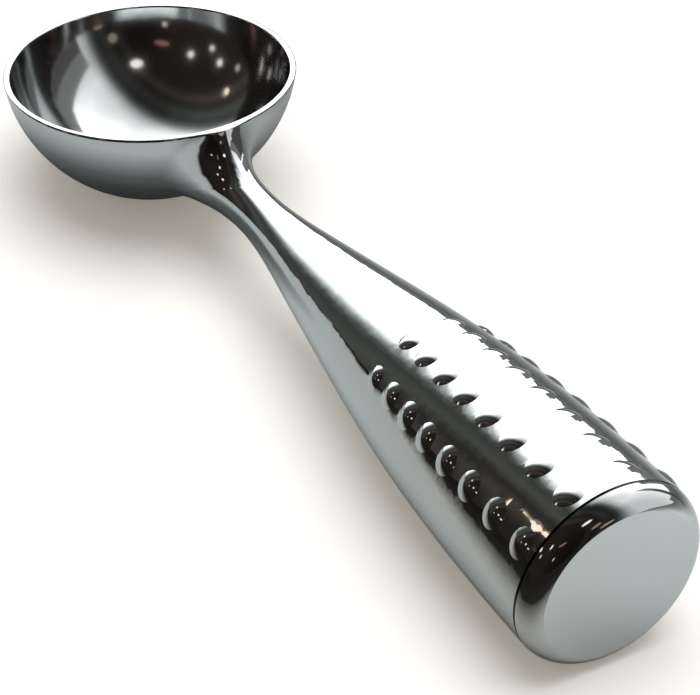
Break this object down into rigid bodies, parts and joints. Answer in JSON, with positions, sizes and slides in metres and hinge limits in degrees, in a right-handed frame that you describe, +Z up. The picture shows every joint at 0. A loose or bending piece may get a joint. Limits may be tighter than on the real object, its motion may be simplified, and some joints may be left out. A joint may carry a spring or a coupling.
{
  "type": "ice cream scoop",
  "caption": "One-piece chromed ice cream scoop with a round bowl, a slim neck and a thick hollow grip with raised dots, closed by a rounded end cap.",
  "frame": {"origin": "on the floor under the middle of the scoop's length, where it lies on its bowl and its butt", "axes": "+X along the handle from the bowl to the butt, +Z up, with the bowl open upwards"},
  "size_m": [0.184, 0.0558, 0.0362],
  "materials": {
    "chrome_plating": "polished",
    "seal_rubber": "matte"
  },
  "bodies": {
    "root": {"scoop_casting": "chrome_plating", "end_cap": "chrome_plating", "cap_seal_ring": "seal_rubber"}
  },
  "joints": []
}
